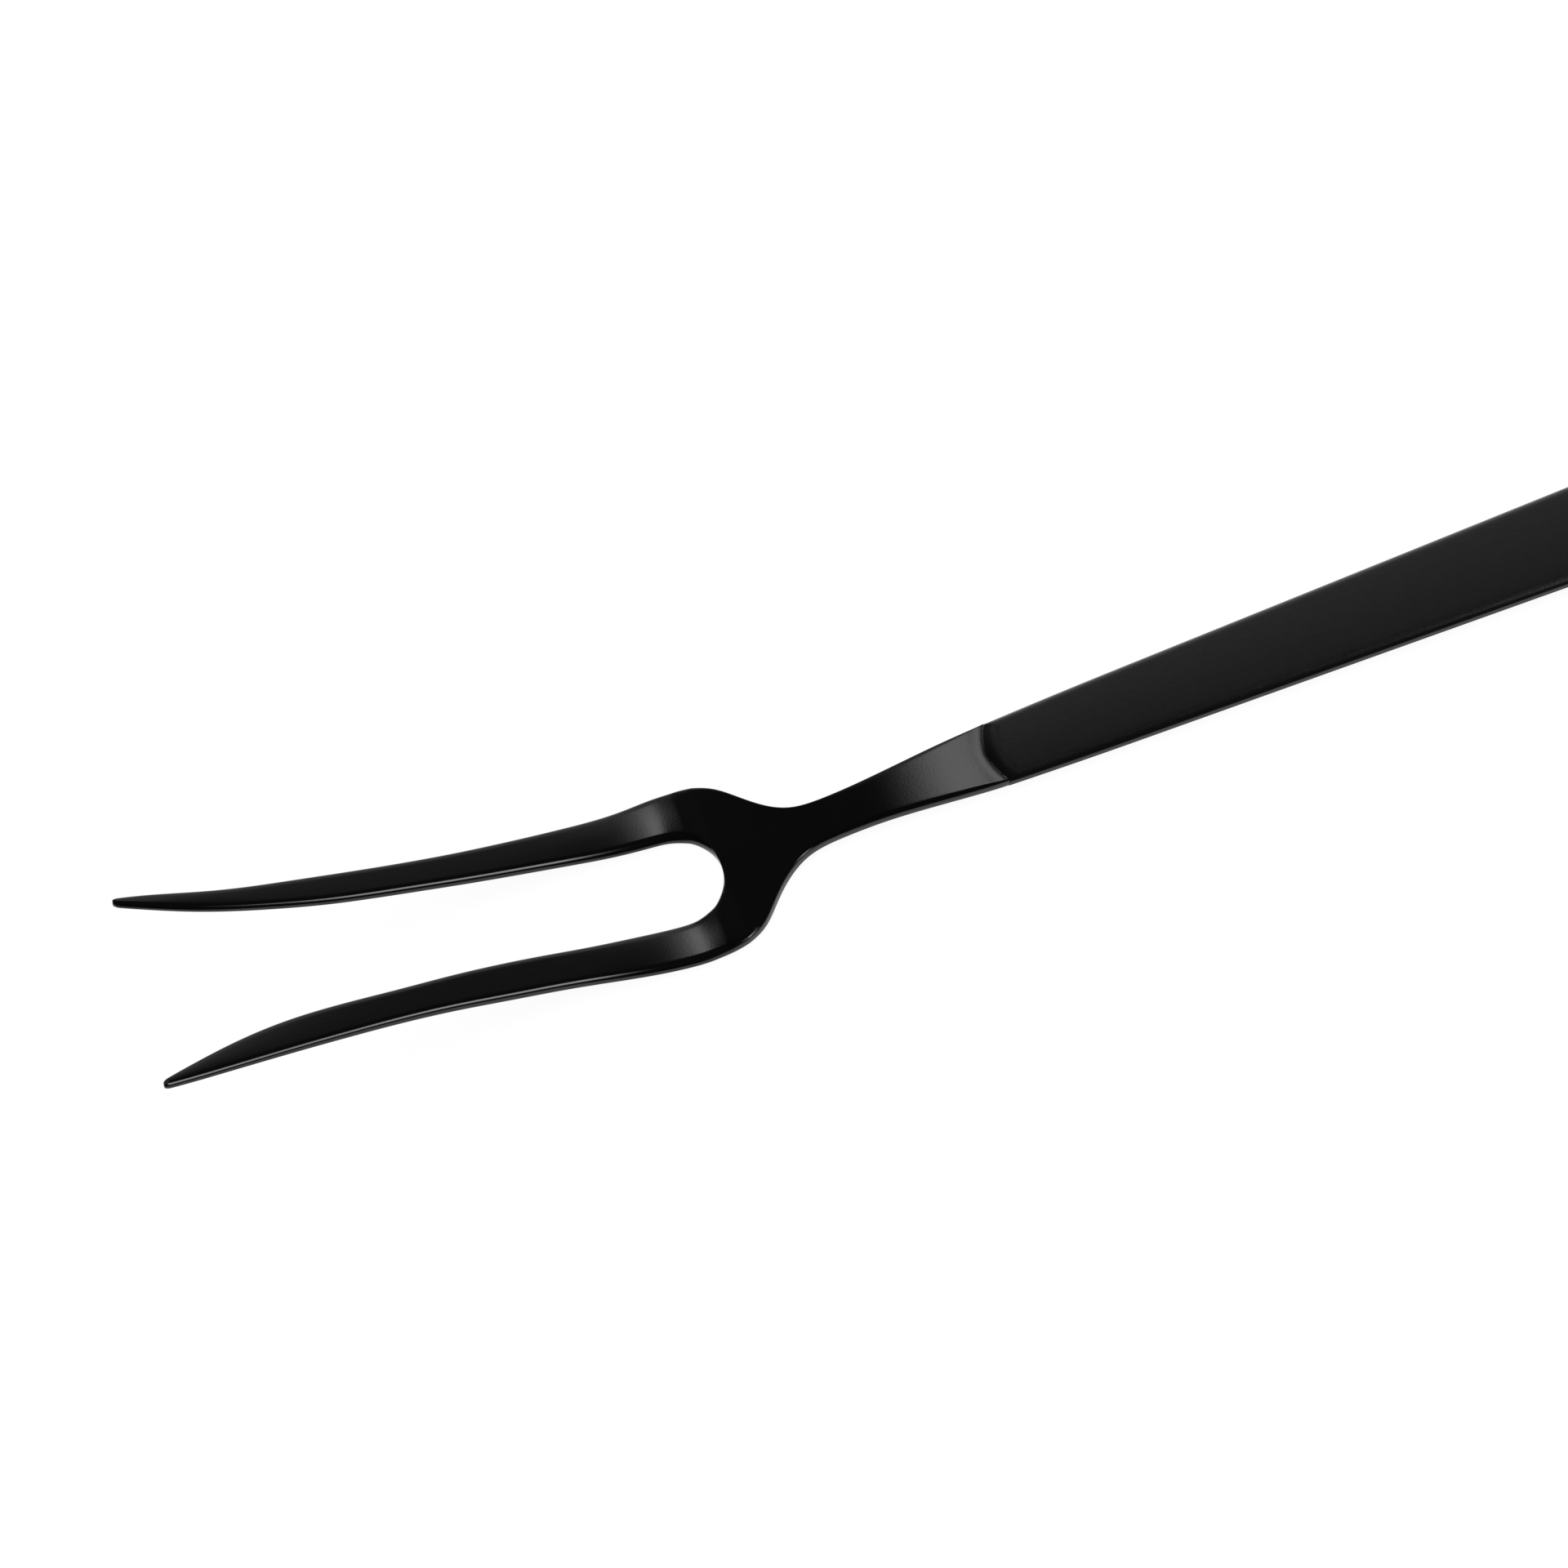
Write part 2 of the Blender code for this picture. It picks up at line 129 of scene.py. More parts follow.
# Round of the head's upper edges, as (distance ahead of the handle, radius)
FACE_ROUNDS = (
    (0.0, 0.0002), (0.004, 0.0006), (0.009, 0.0012), (0.022, 0.0012), (0.029, 0.0006), (0.034, 0.00015),
    (0.05, 0.00015), (0.0525, 0.0004), (0.056, 0.0014), (0.064, 0.0014), (0.08, 0.00105),
)
# How far the faces of the tines fall from their middles to their edges, as (distance ahead, fall)
CROWNS = ((0.054, 0.0), (0.06, 0.00014), (0.068, 0.00014), (0.086, 0.000025), (0.13, 0.000025), (0.145, 0.00007))

# How steeply the face of a tine rises towards its near edge, as (distance ahead, slope)
TINE_LEANS = {
    FAR: ((0.143, 0.0), (0.151, 0.06)),
    NEAR: ((0.108, 0.0), (0.13, 0.012), (0.145, 0.025)),
}

# How far an edge of one side of the head lies outside its plain curve, as (distance ahead, amount)
EDGE_TRIMS = {
    (FAR, "outer"): (
        (0.0, -0.00025), (0.005, -0.00021), (0.012, -0.00035), (0.026, -0.00068), (0.036, -0.00041),
        (0.044, -0.00032), (0.0485, 0.00035), (0.053, -0.00049), (0.0605, -0.00003), (0.068, -0.00037),
        (0.078, 0.00023), (0.088, 0.00044), (0.1, 0.00026), (0.122, 0.00029), (0.136, 0.00007), (0.149, 0.00062),
        (0.155, 0.0003),
    ),
    (FAR, "inner"): (
        (0.0617, 0.0), (0.069, 0.00016), (0.078, 0.00046), (0.088, 0.0004), (0.102, 0.0004), (0.11, 0.00024),
        (0.119, -0.00011), (0.13, -0.00025), (0.141, -0.00042), (0.149, -0.0002), (0.155, -0.0001),
    ),
    (NEAR, "inner"): (
        (0.0617, 0.0), (0.07, -0.00044), (0.082, -0.00031), (0.094, -0.00054), (0.104, -0.00059), (0.112, -0.0005),
        (0.12, -0.00084), (0.128, -0.0013), (0.135, -0.00144), (0.142, -0.00115), (0.15, -0.00045),
        (0.155, -0.0001),
    ),
    (NEAR, "outer"): (
        (0.0, 0.0), (0.005, 0.00007), (0.02, -0.00004), (0.033, 0.00009), (0.04, -0.00008),
        (0.0445, -0.00067), (0.0485, 0.0007), (0.053, -0.00015), (0.062, 0.0005), (0.07, 0.00023),
        (0.081, -0.00008), (0.093, 0.00022), (0.105, 0.00001), (0.114, 0.00011), (0.125, 0.00045), (0.14, 0.00075),
        (0.149, 0.00065), (0.155, 0.00035),
    ),
}

# Patterns of the finishes, as (scale or scales per metre, detail)
POLISH_HAZE = (90.0, 4.0)
POLISH_GRAIN = (2600.0, 2.0)
FINE_BRUSHING = ((260.0, 4200.0, 4200.0), 3.0)
BROAD_BRUSHING = ((18.0, 700.0, 700.0), 2.0)
COATING_SPECKS = (3200.0, 2.0)
DRAWN_MARKS = ((3000.0, 3000.0, 200.0), 3.0)
RESIN_CLOUDS = (120.0, 4.0)
RESIN_VOIDS = 500.0
# Parts of the two brushings and the specks in the satin grain
FINE_PART, BROAD_PART, SPECK_PART = 0.35, 0.15, 0.5
# Multiples of a finish's colour between which its pattern varies it
GLOSS_TONES = (1.0, 1.6)
SATIN_TONES = (0.5, 1.5)
STEEL_TONES = (0.7, 1.0)
RESIN_TONES = (0.75, 1.0)
# Spread of the roughness over a finish, and the least roughness of the hidden ones
GLOSS_SPREAD = 0.03
SATIN_SPREAD = 0.3
HIDDEN_SPREAD = 0.2
STEEL_ROUGHNESS = 0.2
RESIN_ROUGHNESS = 0.65
# Relief of a pattern, as (strength, depth)
POLISH_RELIEF = (0.02, 0.0002)
BRUSHED_RELIEF = (1.0, 0.0001)
VOID_RELIEF = (0.3, 0.0002)
# Where the gloss along the handle's rim ends, and along how much it gives way to the brushing
RIM_GLOSS = (0.0001, 0.0014)
COATING_IOR = 1.5

# The studio as seen from the fork: brightness by a direction's part along X, times brightness by its part along Y
BACK_WALL_X = ((-0.3, 0.1), (0.0, 0.25), (0.1, 1.0), (0.6, 1.0), (0.9, 0.5))
BACK_WALL_Y = ((0.3, 0.02), (0.5, 0.05), (0.57, 0.11), (0.63, 0.42), (0.72, 0.6), (0.85, 0.6))
BACK_BOX_X = (
    (0.03, 0.0), (0.055, 0.05), (0.075, 0.2), (0.088, 0.47), (0.105, 0.8), (0.12, 1.0), (0.14, 1.0), (0.151, 0.88),
    (0.165, 0.5), (0.179, 0.31), (0.193, 0.19), (0.207, 0.1), (0.22, 0.05), (0.25, 0.02), (0.3, 0.0),
)
BACK_BOX_Y = ((0.42, 0.0), (0.47, 1.0), (0.568, 1.0), (0.6, 0.75), (0.635, 0.4), (0.68, 0.0))
SIDE_BOX_X = ((0.18, 0.0), (0.22, 0.22), (0.27, 0.55), (0.33, 1.0), (0.47, 1.0), (0.54, 0.0))
SIDE_BOX_Y = ((-0.85, 0.0), (-0.7, 1.0), (-0.42, 1.0), (-0.32, 0.0))
FILL_PLACE = Vector((-0.24, -0.48, 2.34))
FILL_SIZE = 3.0
FLOOR_SIDES = 96
FLOOR_RADIUS = 12.0
WHITE = (1.0, 1.0, 1.0, 1.0)

# The camera: what it looks at, where it stands from there, and its right, up and backward axes
CAMERA_AIM = Vector((-0.010, 0.0, 0.00325))
CAMERA_OFFSET = Vector((-0.0601, -0.4364, 0.6391))
CAMERA_AXES = ((0.9343, -0.3072, -0.1808), (0.3553, 0.7602, 0.5440), (-0.0298, -0.5725, 0.8194))
SENSOR_WIDTH = 36.0
CLIP_START = 0.01


def measure(label, about, default):
    return bpy.props.FloatProperty(name=label, description=about, default=default, unit="LENGTH", precision=5)


def share(label, about, default):
    return bpy.props.FloatProperty(name=label, description=about, default=default, subtype="FACTOR")


def brightness(label, about, default):
    return bpy.props.FloatProperty(name=label, description=about, default=default, min=0.0)


def colour(label, about, default):
    return bpy.props.FloatVectorProperty(
        name=label, description=about, default=default, subtype="COLOR", size=3, min=0.0, max=1.0
    )


class ForkHeadShape(bpy.types.PropertyGroup):
    """Plan and profile of the forged head."""

    length: measure("Length", "From the front of the handle to the tips", 0.155)
    tip_offset: measure("Tip offset", "From the middle line to a tip", 0.0199)
    tip_width: measure("Tip width", "Across a blunt tip", 0.0013)
    tip_outer_slope: share("Outer slope", "How the outside of a tine turns out at its tip", 0.16)
    tip_inner_slope: share("Inner slope", "How the inside of a tine turns out at its tip", 0.355)
    waist_ahead: measure("Waist place", "Where the tines stand closest", 0.094)
    waist_width: measure("Waist width", "Over both tines at the waist", 0.0326)
    shoulder_ahead: measure("Shoulder place", "Where the shoulder is widest", 0.0569)
    shoulder_width: measure("Shoulder width", "Over the shoulder", 0.0367)
    slot_end: measure("Slot end", "Where the slot between the tines ends", 0.05265)
    slot_width: measure("Slot width", "Between the roots of the tines", 0.0184)
    slot_offset: measure("Slot offset", "How far the slot's round end lies off the middle line", -0.00083)
    slot_offset_fade: measure("Offset fade", "Along which the offset runs out", 0.026)
    neck_ahead: measure("Neck place", "Where the neck is narrowest", 0.0335)
    neck_width: measure("Neck width", "Across the neck at its narrowest", 0.00935)
    stock: measure("Stock", "Thickness of the forging", 0.0017)
    tip_stock: measure("Tip stock", "Thickness at the tips", 0.0012)
    tip_taper: measure("Tip taper", "Along which the tines thin out", 0.09)
    tip_nose: measure("Tip nose", "Length of a tip's round in plan", 0.0011)
    tip_flat: share("Tip flat", "Share of a tip's width left flat at its very end", 0.5)
    tip_short: measure("Tip ground off", "How far the tips end short of the full length", 0.0004)
    pitch: bpy.props.FloatProperty(
        name="Pitch", description="Rise of the tines", default=math.radians(17.2), subtype="ANGLE"
    )
    bend_start: measure("Bend start", "Where the tines begin to rise", 0.0565)
    bend_length: measure("Bend length", "Along which the tines reach their pitch", 0.0269)
    bend_crease: share("Bend crease", "Share of the pitch gained at once where the bend starts", 0.071)
    crest_ahead: measure("Crest place", "Where the arched neck is highest", 0.02)
    shoulder_lift: measure("Shoulder lift", "From the table to the shoulder's underside", 0.001)
    crest_lift: measure("Crest lift", "How high the neck arches over the shoulder", 0.0018)
    face_step: measure("Face step", "From the neck's end up to the handle's face", 0.0007)
    end_fillet: measure("End fillet", "Along which the neck's face turns up to the handle", 0.0026)
    end_rise: measure("End rise", "How far it turns up", 0.00007)
    end_lap: measure("End lap", "How far the neck's end runs in under the handle's front", 0.00025)
    back_round: measure("Back round", "Round of the head's lower edges", 0.0004)
    tang_length: measure("Tang length", "Of the tongue inside the handle", 0.075)
    tang_width: measure("Tang width", "Across the tongue inside the handle", 0.009)


class ForkHandleShape(bpy.types.PropertyGroup):
    """Plan and section of the hollow handle."""

    length: measure("Length", "From the handle's front to its butt", 0.175)
    front_width: measure("Front width", "Across the front of the handle", 0.01372)
    butt_width: measure("Butt width", "Across the butt, before its round", 0.02296)
    off_line: measure("Off line", "How far the handle lies off the head's middle line", -0.00008)
    front_flare: measure("Front flare", "Extra width gained just behind the front", 0.0003)
    flare_length: measure("Flare length", "Along which that width is gained", 0.025)
    front_arc: measure("Front arc", "How far the front bulges towards the tines", 0.0018)
    front_corner: measure("Front corner", "Round of the front corners in plan", 0.00012)
    butt_round: measure("Butt round", "Length of the butt's round in plan", 0.01)
    butt_flat: share("Butt flat", "Share of the width left flat at the very end", 0.3)
    front_depth: measure("Front depth", "Depth of the upper shell's wall", 0.0019)
    back_depth: measure("Back depth", "Depth of the lower shell's wall", 0.0024)
    crown: measure("Crown", "How far the face rises to its middle", 0.0003)
    mouth_reach: measure("Mouth reach", "Length of the round over the handle's front", 0.0034)
    gloss_reach: measure("Gloss reach", "How far the head's gloss runs over the handle's front", 0.0004)
    gloss_fade: measure("Gloss fade", "Along which it gives way to the brushing", 0.0028)
    mouth_dip: measure("Mouth dip", "How far that round ends below the neck's face", 0.00005)
    mouth_roll: measure("Mouth roll", "Round of the lower rim at the handle's front", 0.0012)
    wall: measure("Wall", "Thickness of the pressed sheet", 0.00035)
    gap: measure("Gap", "Clearance round the tang", 0.0003)
    seam: measure("Seam", "Joint between pieces that meet in sight", 0.00005)


class ForkFinishes(bpy.types.PropertyGroup):
    """Colours and polish of the fork's finishes."""

    gloss: colour("Gloss black", "Coating over the polished head", (0.001, 0.001, 0.00105))
    gloss_roughness: share("Gloss roughness", "Blur of reflections in the head", 0.07)
    satin: colour("Satin black", "Coating over the brushed handle", (0.0022, 0.0022, 0.00225))
    satin_roughness: share("Satin roughness", "Blur of reflections in the handle", 0.43)
    steel: colour("Pin steel", "Bare steel of the hidden pins", (0.5, 0.5, 0.51))
    resin: colour("Core resin", "Cast filling of the hidden core", (0.45, 0.42, 0.36))


class ForkStage(bpy.types.PropertyGroup):
    """Floor, light and camera."""

    floor: colour("Floor", "Pale floor under the fork", (0.9, 0.9, 0.9))
    floor_shade: share("Floor shade", "How much of the fork's shadow the white floor keeps", 0.07)
    back_box: brightness("Back softbox", "Brightness of the light behind the fork", 2.4)
    side_box: brightness("Side softbox", "Brightness of the light before the fork", 5.5)
    fill: bpy.props.FloatProperty(
        name="Fill", description="Power of the light on the floor", default=120.0, unit="POWER"
    )
    lens: bpy.props.FloatProperty(
        name="Lens", description="Focal length in millimetres", default=100.0, unit="CAMERA"
    )


class Wire:
    """A shader socket that takes part in Python sums, each of which adds its Math node."""

    def __init__(self, tree, socket=None):
        self.tree = tree
        self.socket = socket

    def node(self, kind, settings=None, sockets=None, output=0):
        """Add a node of any kind, with its settings set first and then its sockets, and return one output."""
        made = self.tree.nodes.new(kind)
        for key, value in (settings or {}).items():
            if key == "stops":
                set_stops(made.color_ramp, value)
            else:
                setattr(made, key, value)
        for key, value in (sockets or {}).items():
            if isinstance(value, Wire):
                self.tree.links.new(value.socket, made.inputs[key])
            else:
                made.inputs[key].default_value = value
        return Wire(self.tree, made.outputs[output])

    def sum(self, operation, first, second):
        return self.node("ShaderNodeMath", {"operation": operation}, {0: first, 1: second})

    def __add__(self, other):
        return self.sum("ADD", self, other)

    __radd__ = __add__

    def __mul__(self, other):
        return self.sum("MULTIPLY", self, other)

    __rmul__ = __mul__

    def __sub__(self, other):
        return self.sum("SUBTRACT", self, other)

    def __rsub__(self, other):
        return self.sum("SUBTRACT", other, self)


def set_stops(ramp, stops):
    """Give a colour ramp its (place, grey) stops."""
    while len(ramp.elements) < len(stops):
        ramp.elements.new(1.0)
    for element, (place, grey) in zip(ramp.elements, stops):
        element.position = place
        element.color = (grey, grey, grey, 1.0)


def pick(piece):
    """Select one piece alone and make it the active one."""
    bpy.ops.object.select_all(action="DESELECT")
    piece.select_set(True)
    bpy.context.view_layer.objects.active = piece


@contextmanager
def editing(piece):
    """Edit mode on one piece, giving its mesh."""
    pick(piece)
    bpy.ops.object.mode_set(mode="EDIT")
    yield bmesh.from_edit_mesh(piece.data)
    bpy.ops.object.mode_set(mode="OBJECT")


def choose(mesh, picked):
    """Select these vertices, edges or faces and nothing else."""
    bpy.ops.mesh.select_all(action="DESELECT")
    for item in picked:
        item.select_set(True)
    mesh.select_flush_mode()


def finish_with(piece, kind, **settings):
    """Add a modifier with these settings and apply it."""
    pick(piece)
    modifier = piece.modifiers.new(kind.lower(), kind)
    for key, value in settings.items():
        setattr(modifier, key, value)
    bpy.ops.object.modifier_apply(modifier=modifier.name)


def add_sheet(name, rows, columns):
    """A flat grid with this many rows and columns of quads, whose points carry their row's and column's numbers."""
    bpy.ops.object.select_all(action="DESELECT")
    bpy.ops.mesh.primitive_grid_add(x_subdivisions=columns, y_subdivisions=rows, size=1)
    sheet = bpy.context.object
    sheet.name = name
    sheet.data.name = name
    with editing(sheet) as mesh:
        row_of = mesh.verts.layers.int.new("row")
        column_of = mesh.verts.layers.int.new("column")
        for vert in mesh.verts:
            vert[row_of] = round((vert.co.y + 0.5) * rows)
            vert[column_of] = round((vert.co.x + 0.5) * columns)
    return sheet


def place_points(mesh, rows, picked):
    """Put these vertices of a sheet where the rows of points say."""
    row_of = mesh.verts.layers.int["row"]
    column_of = mesh.verts.layers.int["column"]
    for vert in picked:
        vert.co = rows[vert[row_of]][vert[column_of]]


def settle(piece, finish, slot, *nodes):
    """Give a finished piece its material and tie it to the frame in place of its CAD nodes."""
    piece.data.materials.clear()
    piece.data.materials.append(finish)
    pick(piece)
    bpy.ops.object.shade_smooth_by_angle(angle=SMOOTH_ANGLE)
    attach(piece, BODY)
    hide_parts(*nodes)


def cubic(along, start, end, start_rise=0.0, end_rise=0.0):
    """A cubic from start to end, whose rises are its end slopes times its span."""
    square = along * along
    cube = square * along
    return (
        start * (2 * cube - 3 * square + 1)
        + end * (3 * square - 2 * cube)
        + start_rise * (cube - 2 * square + along)
        + end_rise * (cube - square)
    )


def ease(along):
    """From 0 to 1, level and straight at both ends."""
    return along**3 * (along * (6 * along - 15) + 10)


def between(table, place):
    """Read a table of (place, value) pairs along a smooth curve, level beyond its ends."""
    places, values = zip(*table)
    last = len(table) - 1
    if place <= places[0] or place >= places[last]:
        return values[0] if place <= places[0] else values[last]
    index = bisect(places, place) - 1
    span = places[index + 1] - places[index]

    def rise(i):
        return (values[i + 1] - values[i - 1]) / (places[i + 1] - places[i - 1]) * span if 0 < i < last else 0.0

    along = (place - places[index]) / span
    return cubic(along, values[index], values[index + 1], rise(index), rise(index + 1))


class HeadPlan:
    """Works out where each point of the head's middle sheet lies."""

    def __init__(self, head, handle):
        self.head = head
        self.handle = handle
        self.front_x = CAD_LOW.x + head.length
        self.face = handle.front_depth + handle.back_depth + handle.crown
        self.tip = head.length - head.tip_short
        self.widest_round = max(widest for _, widest in FACE_ROUNDS)

    def outer(self, ahead, side):
        """From the middle line to the outside of the head."""
        return self.plain_outer(ahead) + between(EDGE_TRIMS[side, "outer"], ahead)

    def plain_outer(self, ahead):
        """The same before its trims, alike on both sides."""
        head = self.head
        waist, shoulder, neck = head.waist_width / 2, head.shoulder_width / 2, head.neck_width / 2
        if ahead > head.waist_ahead:
            span = head.length - head.waist_ahead
            tip = head.tip_offset + head.tip_width / 2
            return cubic((ahead - head.waist_ahead) / span, waist, tip, end_rise=head.tip_outer_slope * span)
        if ahead > head.shoulder_ahead:
            return cubic((ahead - head.shoulder_ahead) / (head.waist_ahead - head.shoulder_ahead), shoulder, waist)
        if ahead > head.neck_ahead:
            along = (ahead - head.neck_ahead) / (head.shoulder_ahead - head.neck_ahead)
            return neck + (shoulder - neck) * ease(along)
        handle = self.handle
        taper = (handle.butt_width - handle.front_width) / 2 / handle.length
        slope = 2 * handle.front_flare / handle.flare_length + taper
        return cubic(1 - ahead / head.neck_ahead, neck, handle.front_width / 2, end_rise=slope * head.neck_ahead)

    def inner(self, ahead, side):
        """From the middle line to the slot between the tines."""
        head = self.head
        if ahead < head.slot_end:
            return 0.0
        radius = head.slot_width / 2
        centre = head.slot_end + radius
        faded = cubic(min(1.0, max(0.0, ahead - centre) / head.slot_offset_fade), 1.0, 0.0)
        offset = side * head.slot_offset * faded
        if ahead < centre:
            return offset + math.sqrt(max(0.0, radius**2 - (centre - ahead) ** 2))
        span = head.length - centre
        tip = head.tip_offset - head.tip_width / 2
        edge = cubic((ahead - centre) / span, radius, tip, end_rise=head.tip_inner_slope * span)
        return edge + offset + between(EDGE_TRIMS[side, "inner"], ahead)

    def height(self, ahead):
        """Height of the middle sheet: neck arched over the table, flat shoulder, raised tines."""
        head = self.head
        flat = head.shoulder_lift + head.stock / 2
        crest = flat + head.crest_lift
        if ahead < head.crest_ahead:
            end = self.face - head.face_step - head.stock / 2
            return crest - (crest - end) * (1 - ahead / head.crest_ahead) ** 2
        if ahead < head.slot_end:
            return cubic((ahead - head.crest_ahead) / (head.slot_end - head.crest_ahead), crest, flat)
        bent = min(max(ahead - head.bend_start, 0.0), head.bend_length)
        straight = max(ahead - head.bend_start - head.bend_length, 0.0)
        curved = (1 - head.bend_crease) * bent * bent / (2 * head.bend_length)
        return flat + math.tan(head.pitch) * (head.bend_crease * bent + curved + straight)

    def stock(self, ahead, across=0.5):
        """Thickness of the head, which on the tines falls off from their middle to their edges."""
        head = self.head
        left = min(1.0, max(0.0, head.length - ahead) / head.tip_taper)
        fall = between(CROWNS, ahead) * (2 * across - 1) ** 2
        return head.tip_stock + (head.stock - head.tip_stock) * left - 2 * fall

    def width(self, ahead, side):
        """Width of one side of the head, drawn in round a tip's nose."""
        head = self.head
        into_nose = max(0.0, 1 - (self.tip - ahead) / head.tip_nose)
        kept = math.sqrt(1 - (1 - head.tip_flat**2) * min(1.0, into_nose) ** 2)
        return kept * (self.outer(ahead, side) - self.inner(ahead, side))

    def upper_round(self, ahead, side):
        """Round of the upper edges, as far as the width and the stock leave room for it."""
        return min(between(FACE_ROUNDS, ahead), FACE_SHARE * self.stock(ahead), WIDTH_SHARE * self.width(ahead, side))

    def across(self, ahead, side, column):
        """Share of the width at which a column lies, the outer ones close beside the rounds of the edges."""
        hold = HOLD_SHARE * self.upper_round(ahead, side) / self.width(ahead, side)
        return (0.0, hold, 0.5, 1 - hold, 1.0)[column]

    def arc(self, y):
        """How far the handle's front bulges towards the tines."""
        return self.handle.front_arc * (1 - (2 * y / self.handle.front_width) ** 2)

    def stations(self):
        """Distances of the rows from tip to neck, closer together round the slot's end and at the crease."""
        head = self.head
        radius = head.slot_width / 2
        centre = head.slot_end + radius
        tips = [self.tip - back for back in TIP_ROWS]
        tines = [self.tip + (centre - self.tip) * i / TINE_ROWS for i in range(1, TINE_ROWS)]
        slot = [centre - radius * math.sin(math.pi / 2 * i / SLOT_ROWS) for i in range(SLOT_ROWS)]
        neck = [head.slot_end * (1 - i / NECK_ROWS) for i in range(NECK_ROWS)]
        smooth = [place for place in tines + slot + neck if abs(place - head.bend_start) > CREASE_CLEAR]
        crease = [head.bend_start + CREASE_HALF, head.bend_start - CREASE_HALF]
        return sorted(tips + smooth + crease + list(END_ROWS), reverse=True)

    def point(self, ahead, column, side):
        """Place of a point of the middle sheet, whose last row follows the arc of the handle's front."""
        middle = (self.inner(ahead, side) + self.outer(ahead, side)) / 2
        y = middle + self.width(ahead, side) * (self.across(ahead, side, column) - 0.5)
        drawn_in = max(0.0, 1 - ahead / self.head.neck_ahead) ** 2
        x = self.front_x - ahead - drawn_in * (self.arc(y) - self.head.end_lap)
        turned_up = self.head.end_rise * max(0.0, 1 - ahead / self.head.end_fillet) ** 3
        leaning = side * (middle - y) * between(TINE_LEANS[side], ahead)
        return Vector((x, side * y, self.height(self.front_x - x) + turned_up + leaning))

    def at_end(self, point):
        """Whether a point lies on the neck's end."""
        return abs(self.front_x - point.x - self.arc(point.y) + self.head.end_lap) < NEAR_END

    def tang_levels(self):
        """Bottom and top of the tang."""
        head, handle = self.head, self.handle
        dip = handle.crown * (head.tang_width / handle.front_width) ** 2
        return self.face - head.face_step - head.stock, self.face - dip - handle.wall - handle.gap


def half_sheet(plan, side):
    """The middle sheet of one side of the head, each row carried to its station, with its stock as weights."""
    stations = plan.stations()
    points = [[plan.point(ahead, column, side) for column in range(HEAD_COLUMNS + 1)] for ahead in stations]
    sheet = add_sheet("fork_head_half", len(stations) - 1, HEAD_COLUMNS)
    with editing(sheet) as mesh:
        place_points(mesh, points, mesh.verts)
        bpy.ops.mesh.select_all(action="SELECT")
        bpy.ops.mesh.normals_make_consistent(inside=False)
    group = sheet.vertex_groups.new(name="stock")
    rows = [item.value for item in sheet.data.attributes["row"].data]
    columns = [item.value for item in sheet.data.attributes["column"].data]
    for index, (row, column) in enumerate(zip(rows, columns)):
        ahead = stations[row]
        thickness = plan.stock(ahead, plan.across(ahead, side, column))
        group.add([index], thickness / plan.head.stock, "REPLACE")
    return sheet


def forge_head(plan):
    """Both halves joined, thickened to the stock, rounded along their edges and smoothed."""
    far = half_sheet(plan, FAR)
    near = half_sheet(plan, NEAR)
    pick(far)
    near.select_set(True)
    bpy.ops.object.join()
    far.name = "forged_head"
    far.data.name = "forged_head"
    with editing(far):
        bpy.ops.mesh.select_all(action="SELECT")
        bpy.ops.mesh.remove_doubles(threshold=MERGE_DISTANCE)
        bpy.ops.mesh.normals_make_consistent(inside=False)
    finish_with(far, "SOLIDIFY", thickness=plan.head.stock, offset=0.0, use_even_offset=True, vertex_group="stock")
    open_end(far, plan)
    weigh_edges(far, plan)
    finish_with(
        far, "BEVEL", limit_method="WEIGHT", width=plan.widest_round, segments=EDGE_SEGMENTS, use_clamp_overlap=False
    )
    finish_with(far, "SUBSURF", levels=HEAD_LEVELS, render_levels=HEAD_LEVELS)
    return far


def open_end(piece, plan):
    """Open the neck's end, so that smoothing leaves it where it meets the handle."""
    with editing(piece) as mesh:
        choose(mesh, [face for face in mesh.faces if all(plan.at_end(vert.co) for vert in face.verts)])
        bpy.ops.mesh.delete(type="FACE")


def weigh_edges(piece, plan):
    """Weight each long edge of the head by the round that its width and thickness leave room for."""
    with editing(piece) as mesh:
        weight = mesh.edges.layers.float.new("bevel_weight_edge")
        for edge in mesh.edges:
            along = edge.verts[0].co - edge.verts[1].co
            middle = (edge.verts[0].co + edge.verts[1].co) / 2
            ahead = min(max(plan.front_x - middle.x, 0.0), plan.tip)
            upright = abs(along.z) > UPRIGHT_SLOPE * along.xy.length
            if edge.calc_face_angle(0.0) < SHARP_ANGLE or upright:
                continue
            side = FAR if middle.y > 0 else NEAR
            round_off = plan.upper_round(ahead, side)
            if middle.z < plan.height(ahead):
                round_off = min(round_off, plan.head.back_round, BACK_SHARE * plan.stock(ahead))
            edge[weight] = round_off / plan.widest_round


def draw_tang(piece, plan):
    """Draw the tang out of the neck's open end: narrowed, pulled back into the handle and closed."""
    handle, head = plan.handle, plan.head
    bottom, top = plan.tang_levels()
    centre = (plan.front_x, 0.0, bottom + head.stock / 2)
    narrowed = (1, head.tang_width / handle.front_width, (top - bottom) / head.stock)
    with editing(piece) as mesh:
        choose(mesh, [edge for edge in mesh.edges if edge.is_boundary])
        bpy.ops.mesh.extrude_edges_move()
        bpy.ops.transform.resize(value=narrowed, center_override=centre)
        bpy.ops.transform.translate(value=(0, 0, (top + bottom) / 2 - centre[2]))
        bpy.ops.mesh.extrude_edges_move(TRANSFORM_OT_translate={"value": (head.tang_length, 0, 0)})
        bpy.ops.mesh.edge_face_add()
        bpy.ops.mesh.select_all(action="SELECT")
        bpy.ops.mesh.normals_make_consistent(inside=False)


